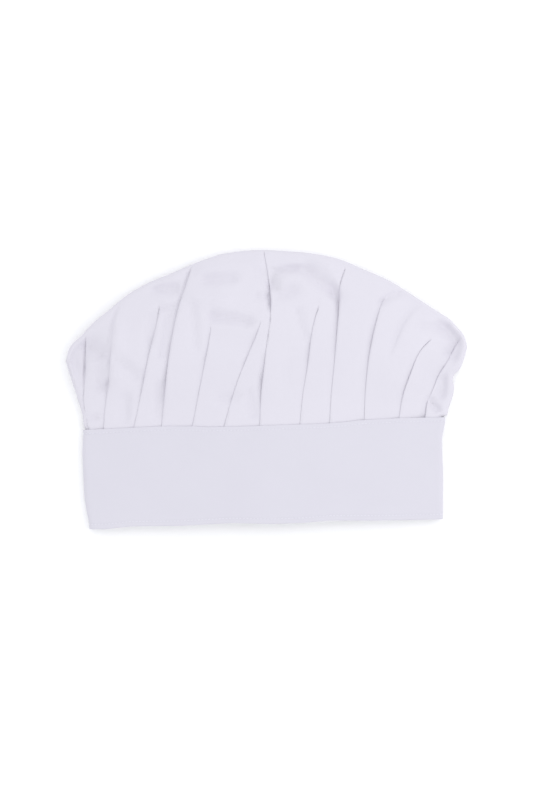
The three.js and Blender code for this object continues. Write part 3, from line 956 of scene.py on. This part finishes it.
def cotton(name, light, dark, crumple):
    material = bpy.data.materials.new(name)
    tree, node = shader_nodes(material, {
        "uv": "ShaderNodeUVMap",
        "place": "ShaderNodeTexCoord",
        "warp": "ShaderNodeTexWave",
        "weft": "ShaderNodeTexWave",
        "cross": "ShaderNodeMath",
        "tone": "ShaderNodeTexNoise",
        "colour": "ShaderNodeMix",
        "crumple": "ShaderNodeTexNoise",
        "soft bump": "ShaderNodeBump",
        "weave bump": "ShaderNodeBump",
        "cloth": "ShaderNodeBsdfPrincipled",
        "output": "ShaderNodeOutputMaterial",
    })
    node["uv"].uv_map = "cloth"
    for thread, direction in (("warp", "X"), ("weft", "Y")):
        node[thread].bands_direction = direction
        scale = THREADS_PER_MM / MM * 2 * math.pi / WAVE_TURN
        set_inputs(node[thread], {"Scale": scale, "Distortion": 0.4})
        link(tree, node["uv"].outputs["UV"], node[thread].inputs["Vector"])
    node["cross"].operation = "MULTIPLY"
    link(tree, node["warp"].outputs["Fac"], node["cross"].inputs[0])
    link(tree, node["weft"].outputs["Fac"], node["cross"].inputs[1])
    set_inputs(node["tone"], {"Scale": 22, "Detail": 4})
    set_inputs(node["crumple"], {"Scale": 90, "Detail": 5})
    link(tree, node["place"].outputs["Object"], node["tone"].inputs["Vector"])
    link(tree, node["place"].outputs["Object"], node["crumple"].inputs["Vector"])
    node["colour"].data_type = "RGBA"
    set_inputs(node["colour"], {"A": (*dark, 1), "B": (*light, 1)})
    link(tree, node["tone"].outputs["Fac"], node["colour"].inputs["Factor"])
    set_inputs(node["soft bump"], {"Strength": crumple, "Distance": 0.6 * MM})
    set_inputs(node["weave bump"], {"Strength": 0.35, "Distance": 0.08 * MM})
    link(tree, node["crumple"].outputs["Fac"], node["soft bump"].inputs["Height"])
    link(tree, node["cross"].outputs["Value"], node["weave bump"].inputs["Height"])
    link(tree, node["soft bump"].outputs["Normal"], node["weave bump"].inputs["Normal"])
    cloth = node["cloth"].inputs
    set_inputs(node["cloth"], {"Roughness": 0.92, "Specular IOR Level": 0.2})
    set_inputs(node["cloth"], {"Sheen Weight": 0.02, "Sheen Roughness": 0.6})
    link(tree, node["colour"].outputs["Result"], cloth["Base Color"])
    link(tree, node["weave bump"].outputs["Normal"], cloth["Normal"])
    link(tree, node["cloth"].outputs["BSDF"], node["output"].inputs["Surface"])
    return material


crown_cotton = cotton(
    "crown cotton", light=(0.684, 0.663, 0.724), dark=(0.659, 0.639, 0.701), crumple=0.25,
)
# Painted shade: the band's colours are the crown's cotton made about five per cent darker, not another
# cloth.
band_cotton_painted_shade = cotton(
    "band cotton with painted shade", light=(0.649, 0.634, 0.696), dark=(0.625, 0.609, 0.672), crumple=0.15,
)
crown.data.materials.append(crown_cotton)
band.data.materials.append(band_cotton_painted_shade)


def thread_material():
    material = bpy.data.materials.new("sewing thread")
    tree, node = shader_nodes(material, {
        "place": "ShaderNodeTexCoord",
        "twist": "ShaderNodeTexNoise",
        "colour": "ShaderNodeMix",
        "thread": "ShaderNodeBsdfPrincipled",
        "output": "ShaderNodeOutputMaterial",
    })
    set_inputs(node["twist"], {"Scale": 900})
    node["colour"].data_type = "RGBA"
    set_inputs(node["colour"], {"A": (0.692, 0.683, 0.753, 1), "B": (0.744, 0.735, 0.787, 1)})
    link(tree, node["place"].outputs["Object"], node["twist"].inputs["Vector"])
    link(tree, node["twist"].outputs["Fac"], node["colour"].inputs["Factor"])
    link(tree, node["colour"].outputs["Result"], node["thread"].inputs["Base Color"])
    set_inputs(node["thread"], {"Roughness": 0.6})
    link(tree, node["thread"].outputs["BSDF"], node["output"].inputs["Surface"])
    return material


thread = thread_material()

# %% Sew both rows
STITCH_STEP = 2.9  # from one stitch to the next, mm
STITCH_LENGTH = 2.3
THREAD = 0.5  # its thickness


def sew(name, y, tree):
    ring = band_ring(y, groove(y))
    curve = bpy.data.curves.new(name, "CURVE")
    curve.dimensions = "3D"
    spline = curve.splines.new("POLY")
    spline.points.add(len(ring) - 1)
    spline.use_cyclic_u = True
    places = np.column_stack([to_metres(ring), np.ones(len(ring))])
    spline.points.foreach_set("co", places.ravel())
    line = bpy.data.objects.new(name + "_line", curve)
    bpy.context.collection.objects.link(line)
    modifier = line.modifiers.new("sewing", "NODES")
    modifier.node_group = tree
    sizes = {"Step": STITCH_STEP, "Stitch length": STITCH_LENGTH, "Thread thickness": THREAD}
    for item in tree.interface.items_tree:
        if item.in_out == "INPUT" and item.name in sizes:
            modifier[item.identifier] = sizes[item.name] * MM
    graph = bpy.context.evaluated_depsgraph_get()
    mesh = bpy.data.meshes.new_from_object(line.evaluated_get(graph))
    bpy.data.objects.remove(line)
    row = bpy.data.objects.new(name, mesh)
    bpy.context.collection.objects.link(row)
    print(name, "has", len(mesh.polygons), "faces")
    return row


sewing = sewing_tree(thread)
top_stitches = sew("top_stitches", BAND_TOP - TOP_STITCH, sewing)
hem_stitches = sew("hem_stitches", HEM + HEM_STITCH, sewing)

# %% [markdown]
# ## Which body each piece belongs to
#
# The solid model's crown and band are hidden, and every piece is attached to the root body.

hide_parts("crown")
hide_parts("band")
for piece in (crown, band, top_stitches, hem_stitches):
    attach(piece, "root")

# %% [markdown]
# ## Floor, light and camera
#
# The hat lies on a plain white surface. A bright even surround lights it from all sides, and one
# soft light above its right side gives the folds a lighter and a darker face.

# %% Floor
def floor_material():
    material = bpy.data.materials.new("white floor")
    tree, node = shader_nodes(material, {
        "paper": "ShaderNodeBsdfPrincipled",
        "output": "ShaderNodeOutputMaterial",
    })
    set_inputs(node["paper"], {
        "Base Color": (0.93, 0.93, 0.93, 1), "Roughness": 0.9, "Specular IOR Level": 0.1,
        "Emission Color": (1, 1, 1, 1), "Emission Strength": 0.04,
    })
    link(tree, node["paper"].outputs["BSDF"], node["output"].inputs["Surface"])
    return material


FLOOR_SIZE = 8  # metres
FLOOR_DROP = 0.2 * MM  # the floor lies this far under the cloth

bpy.ops.mesh.primitive_plane_add(size=FLOOR_SIZE, location=(0, 0, -FLOOR_DROP))
floor = bpy.context.object
floor.name = "floor"
floor.data.materials.append(floor_material())

# %% Light
scene = bpy.context.scene
scene.view_settings.view_transform = "Standard"
scene.world = bpy.data.worlds.new("soft surround")
scene.world.use_nodes = True
surround = scene.world.node_tree.nodes["Background"]
surround.inputs["Color"].default_value = (0.97, 0.98, 1.0, 1)
surround.inputs["Strength"].default_value = 1.14


def soft_light(name, place, target, size, watts):
    data = bpy.data.lights.new(name, "AREA")
    data.shape = "DISK"
    data.size = size
    data.energy = watts
    light = bpy.data.objects.new(name, data)
    light.location = place
    aim = Vector(target) - Vector(place)
    light.rotation_euler = aim.to_track_quat("-Z", "Y").to_euler()
    bpy.context.collection.objects.link(light)


soft_light("side light", place=(1.29, 0.2, 1.5), target=(0, 0, 0), size=1.2, watts=5.0)

# %% Camera
# Straight above, from far away with a long lens, turned a little because the hat lies a little askew.
VIEW_WIDTH = 0.4454  # metres across the frame at the hat
CAMERA_HEIGHT = 2.4  # above VIEW_LEVEL
CAMERA_TURN = math.radians(-1.75)
VIEW_CENTRE = to_metres((5.0, 20.8, 0))
VIEW_LEVEL = 0.012  # height above the floor at which the frame is VIEW_WIDTH wide

camera_data = bpy.data.cameras.new("camera")
camera_data.sensor_fit = "HORIZONTAL"
camera_data.lens = camera_data.sensor_width * CAMERA_HEIGHT / VIEW_WIDTH
camera = bpy.data.objects.new("camera", camera_data)
camera.location = (VIEW_CENTRE[0], VIEW_CENTRE[1], CAMERA_HEIGHT + VIEW_LEVEL)
camera.rotation_euler = (0, 0, CAMERA_TURN)
bpy.context.collection.objects.link(camera)
scene.camera = camera
